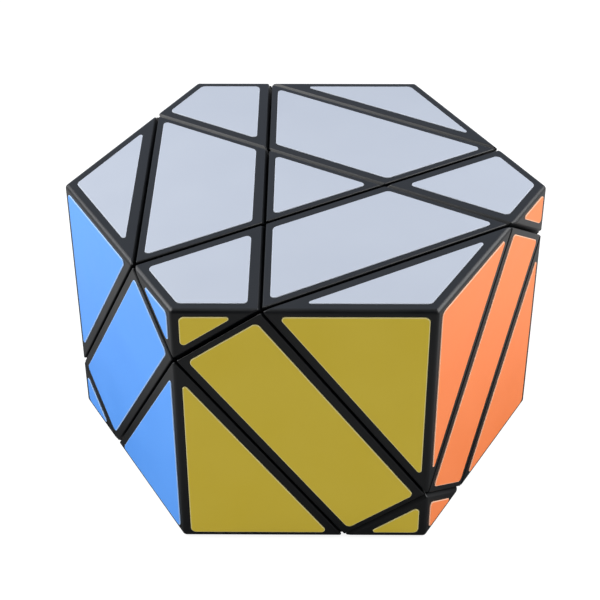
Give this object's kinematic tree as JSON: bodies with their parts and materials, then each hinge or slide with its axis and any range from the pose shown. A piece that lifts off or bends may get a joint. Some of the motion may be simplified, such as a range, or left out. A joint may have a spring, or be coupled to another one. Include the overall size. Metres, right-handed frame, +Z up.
{
  "type": "hexagonal prism twisty puzzle",
  "caption": "Hexagonal prism twisty puzzle: stickered blocks held by a hidden screwed core, in layers that each turn about their own screw.",
  "frame": {"origin": "middle of the underside, on the prism's axis", "axes": "+Z up along the prism's axis, +X through an upright edge, -Y out of the front face"},
  "size_m": [0.094, 0.0814, 0.0555],
  "materials": {
    "black_plastic": "satin moulded",
    "core_plastic": "moulded",
    "zinc_steel": "zinc plated",
    "spring_steel": "drawn wire",
    "white_sticker": "satin vinyl",
    "yellow_sticker": "satin vinyl",
    "blue_sticker": "satin vinyl",
    "orange_sticker": "satin vinyl",
    "green_sticker": "satin vinyl",
    "red_sticker": "satin vinyl",
    "purple_sticker": "satin vinyl",
    "pink_sticker": "satin vinyl"
  },
  "bodies": {
    "core": {"core": "core_plastic", "screw_bottom_back_right": "zinc_steel", "washer_bottom_back_right": "zinc_steel", "screw_bottom_left": "zinc_steel", "washer_bottom_left": "zinc_steel", "screw_bottom_front_right": "zinc_steel", "washer_bottom_front_right": "zinc_steel", "screw_top_back_left": "zinc_steel", "washer_top_back_left": "zinc_steel", "screw_top_right": "zinc_steel", "washer_top_right": "zinc_steel", "screw_top_front_left": "zinc_steel", "washer_top_front_left": "zinc_steel"},
    "centre_bottom_back_right": {"centre_base_bottom_back_right": "black_plastic", "centre_cap_bottom_back_right": "black_plastic", "spring_bottom_back_right": "spring_steel"},
    "centre_bottom_left": {"centre_base_bottom_left": "black_plastic", "centre_cap_bottom_left": "black_plastic", "spring_bottom_left": "spring_steel"},
    "centre_bottom_front_right": {"centre_base_bottom_front_right": "black_plastic", "centre_cap_bottom_front_right": "black_plastic", "spring_bottom_front_right": "spring_steel"},
    "centre_top_back_left": {"centre_base_top_back_left": "black_plastic", "centre_cap_top_back_left": "black_plastic", "spring_top_back_left": "spring_steel"},
    "centre_top_right": {"centre_base_top_right": "black_plastic", "centre_cap_top_right": "black_plastic", "spring_top_right": "spring_steel"},
    "centre_top_front_left": {"centre_base_top_front_left": "black_plastic", "centre_cap_top_front_left": "black_plastic", "spring_top_front_left": "spring_steel"},
    "edge_bottom_back_left": {"edge_bottom_back_left": "black_plastic"},
    "edge_bottom_right": {"edge_bottom_right": "black_plastic"},
    "edge_side_back": {"edge_side_back": "black_plastic"},
    "edge_side_right_back": {"edge_side_right_back": "black_plastic"},
    "edge_bottom_front_left": {"edge_bottom_front_left": "black_plastic"},
    "edge_side_left_back": {"edge_side_left_back": "black_plastic"},
    "edge_side_right_front": {"edge_side_right_front": "black_plastic"},
    "edge_top_back_right": {"edge_top_back_right": "black_plastic"},
    "edge_side_left_front": {"edge_side_left_front": "black_plastic"},
    "edge_side_front": {"edge_side_front": "black_plastic"},
    "edge_top_left": {"edge_top_left": "black_plastic"},
    "edge_top_front_right": {"edge_top_front_right": "black_plastic"},
    "corner_bottom": {"corner_shell_bottom": "black_plastic", "corner_foot_bottom": "black_plastic"},
    "corner_bottom_back_left": {"corner_shell_bottom_back_left": "black_plastic", "corner_foot_bottom_back_left": "black_plastic"},
    "corner_bottom_right": {"corner_shell_bottom_right": "black_plastic", "corner_foot_bottom_right": "black_plastic"},
    "corner_top_back_right": {"corner_shell_top_back_right": "black_plastic", "corner_foot_top_back_right": "black_plastic"},
    "corner_bottom_front_left": {"corner_shell_bottom_front_left": "black_plastic", "corner_foot_bottom_front_left": "black_plastic"},
    "corner_top_left": {"corner_shell_top_left": "black_plastic", "corner_foot_top_left": "black_plastic"},
    "corner_top_front_right": {"corner_shell_top_front_right": "black_plastic", "corner_foot_top_front_right": "black_plastic"},
    "corner_top": {"corner_shell_top": "black_plastic", "corner_foot_top": "black_plastic"}
  },
  "joints": [
    {"name": "turn_bottom_back_right", "type": "hinge", "parent": "core", "child": "centre_bottom_back_right", "pos_m": [0, 0, 0.02775], "axis": [0.4082, 0.7071, -0.5774], "continuous": true},
    {"name": "turn_bottom_left", "type": "hinge", "parent": "core", "child": "centre_bottom_left", "pos_m": [0, 0, 0.02775], "axis": [-0.8165, 0, -0.5774], "continuous": true},
    {"name": "turn_bottom_front_right", "type": "hinge", "parent": "core", "child": "centre_bottom_front_right", "pos_m": [0, 0, 0.02775], "axis": [0.4082, -0.7071, -0.5774], "continuous": true},
    {"name": "turn_top_back_left", "type": "hinge", "parent": "core", "child": "centre_top_back_left", "pos_m": [0, 0, 0.02775], "axis": [-0.4082, 0.7071, 0.5774], "continuous": true},
    {"name": "turn_top_right", "type": "hinge", "parent": "core", "child": "centre_top_right", "pos_m": [0, 0, 0.02775], "axis": [0.8165, 0, 0.5774], "continuous": true},
    {"name": "turn_top_front_left", "type": "hinge", "parent": "core", "child": "centre_top_front_left", "pos_m": [0, 0, 0.02775], "axis": [-0.4082, -0.7071, 0.5774], "continuous": true},
    {"name": "carry_edge_bottom_back_left", "type": "hinge", "parent": "centre_bottom_back_right", "child": "edge_bottom_back_left", "pos_m": [0, 0, 0.02775], "axis": [-0.8165, 0, -0.5774], "continuous": true},
    {"name": "carry_edge_bottom_right", "type": "hinge", "parent": "centre_bottom_front_right", "child": "edge_bottom_right", "pos_m": [0, 0, 0.02775], "axis": [0.4082, 0.7071, -0.5774], "continuous": true},
    {"name": "carry_edge_side_back", "type": "hinge", "parent": "centre_top_back_left", "child": "edge_side_back", "pos_m": [0, 0, 0.02775], "axis": [0.4082, 0.7071, -0.5774], "continuous": true},
    {"name": "carry_edge_side_right_back", "type": "hinge", "parent": "centre_bottom_back_right", "child": "edge_side_right_back", "pos_m": [0, 0, 0.02775], "axis": [0.8165, 0, 0.5774], "continuous": true},
    {"name": "carry_edge_bottom_front_left", "type": "hinge", "parent": "centre_bottom_left", "child": "edge_bottom_front_left", "pos_m": [0, 0, 0.02775], "axis": [0.4082, -0.7071, -0.5774], "continuous": true},
    {"name": "carry_edge_side_left_back", "type": "hinge", "parent": "centre_bottom_left", "child": "edge_side_left_back", "pos_m": [0, 0, 0.02775], "axis": [-0.4082, 0.7071, 0.5774], "continuous": true},
    {"name": "carry_edge_side_right_front", "type": "hinge", "parent": "centre_top_right", "child": "edge_side_right_front", "pos_m": [0, 0, 0.02775], "axis": [0.4082, -0.7071, -0.5774], "continuous": true},
    {"name": "carry_edge_top_back_right", "type": "hinge", "parent": "centre_top_right", "child": "edge_top_back_right", "pos_m": [0, 0, 0.02775], "axis": [-0.4082, 0.7071, 0.5774], "continuous": true},
    {"name": "carry_edge_side_left_front", "type": "hinge", "parent": "centre_top_front_left", "child": "edge_side_left_front", "pos_m": [0, 0, 0.02775], "axis": [-0.8165, 0, -0.5774], "continuous": true},
    {"name": "carry_edge_side_front", "type": "hinge", "parent": "centre_bottom_front_right", "child": "edge_side_front", "pos_m": [0, 0, 0.02775], "axis": [-0.4082, -0.7071, 0.5774], "continuous": true},
    {"name": "carry_edge_top_left", "type": "hinge", "parent": "centre_top_back_left", "child": "edge_top_left", "pos_m": [0, 0, 0.02775], "axis": [-0.4082, -0.7071, 0.5774], "continuous": true},
    {"name": "carry_edge_top_front_right", "type": "hinge", "parent": "centre_top_front_left", "child": "edge_top_front_right", "pos_m": [0, 0, 0.02775], "axis": [0.8165, 0, 0.5774], "continuous": true},
    {"name": "carry_corner_bottom", "type": "hinge", "parent": "edge_bottom_front_left", "child": "corner_bottom", "pos_m": [0, 0, 0.02775], "axis": [0.4082, 0.7071, -0.5774], "continuous": true},
    {"name": "carry_corner_bottom_back_left", "type": "hinge", "parent": "edge_side_left_back", "child": "corner_bottom_back_left", "pos_m": [0, 0, 0.02775], "axis": [0.4082, 0.7071, -0.5774], "continuous": true},
    {"name": "carry_corner_bottom_right", "type": "hinge", "parent": "edge_side_right_front", "child": "corner_bottom_right", "pos_m": [0, 0, 0.02775], "axis": [0.4082, 0.7071, -0.5774], "continuous": true},
    {"name": "carry_corner_top_back_right", "type": "hinge", "parent": "edge_top_back_right", "child": "corner_top_back_right", "pos_m": [0, 0, 0.02775], "axis": [0.4082, 0.7071, -0.5774], "continuous": true},
    {"name": "carry_corner_bottom_front_left", "type": "hinge", "parent": "edge_bottom_front_left", "child": "corner_bottom_front_left", "pos_m": [0, 0, 0.02775], "axis": [-0.4082, -0.7071, 0.5774], "continuous": true},
    {"name": "carry_corner_top_left", "type": "hinge", "parent": "edge_side_left_back", "child": "corner_top_left", "pos_m": [0, 0, 0.02775], "axis": [-0.4082, -0.7071, 0.5774], "continuous": true},
    {"name": "carry_corner_top_front_right", "type": "hinge", "parent": "edge_side_right_front", "child": "corner_top_front_right", "pos_m": [0, 0, 0.02775], "axis": [-0.4082, -0.7071, 0.5774], "continuous": true},
    {"name": "carry_corner_top", "type": "hinge", "parent": "edge_top_back_right", "child": "corner_top", "pos_m": [0, 0, 0.02775], "axis": [-0.4082, -0.7071, 0.5774], "continuous": true}
  ],
  "couplings": [
    {"joint": "carry_edge_bottom_back_left", "follows": "turn_bottom_left", "ratio": 1},
    {"joint": "carry_edge_bottom_right", "follows": "turn_bottom_back_right", "ratio": 1},
    {"joint": "carry_edge_side_back", "follows": "turn_bottom_back_right", "ratio": 1},
    {"joint": "carry_edge_side_right_back", "follows": "turn_top_right", "ratio": 1},
    {"joint": "carry_edge_bottom_front_left", "follows": "turn_bottom_front_right", "ratio": 1},
    {"joint": "carry_edge_side_left_back", "follows": "turn_top_back_left", "ratio": 1},
    {"joint": "carry_edge_side_right_front", "follows": "turn_bottom_front_right", "ratio": 1},
    {"joint": "carry_edge_top_back_right", "follows": "turn_top_back_left", "ratio": 1},
    {"joint": "carry_edge_side_left_front", "follows": "turn_bottom_left", "ratio": 1},
    {"joint": "carry_edge_side_front", "follows": "turn_top_front_left", "ratio": 1},
    {"joint": "carry_edge_top_left", "follows": "turn_top_front_left", "ratio": 1},
    {"joint": "carry_edge_top_front_right", "follows": "turn_top_right", "ratio": 1},
    {"joint": "carry_corner_bottom", "follows": "turn_bottom_back_right", "ratio": 1},
    {"joint": "carry_corner_bottom_back_left", "follows": "turn_bottom_back_right", "ratio": 1},
    {"joint": "carry_corner_bottom_right", "follows": "turn_bottom_back_right", "ratio": 1},
    {"joint": "carry_corner_top_back_right", "follows": "turn_bottom_back_right", "ratio": 1},
    {"joint": "carry_corner_bottom_front_left", "follows": "turn_top_front_left", "ratio": 1},
    {"joint": "carry_corner_top_left", "follows": "turn_top_front_left", "ratio": 1},
    {"joint": "carry_corner_top_front_right", "follows": "turn_top_front_left", "ratio": 1},
    {"joint": "carry_corner_top", "follows": "turn_top_front_left", "ratio": 1}
  ]
}
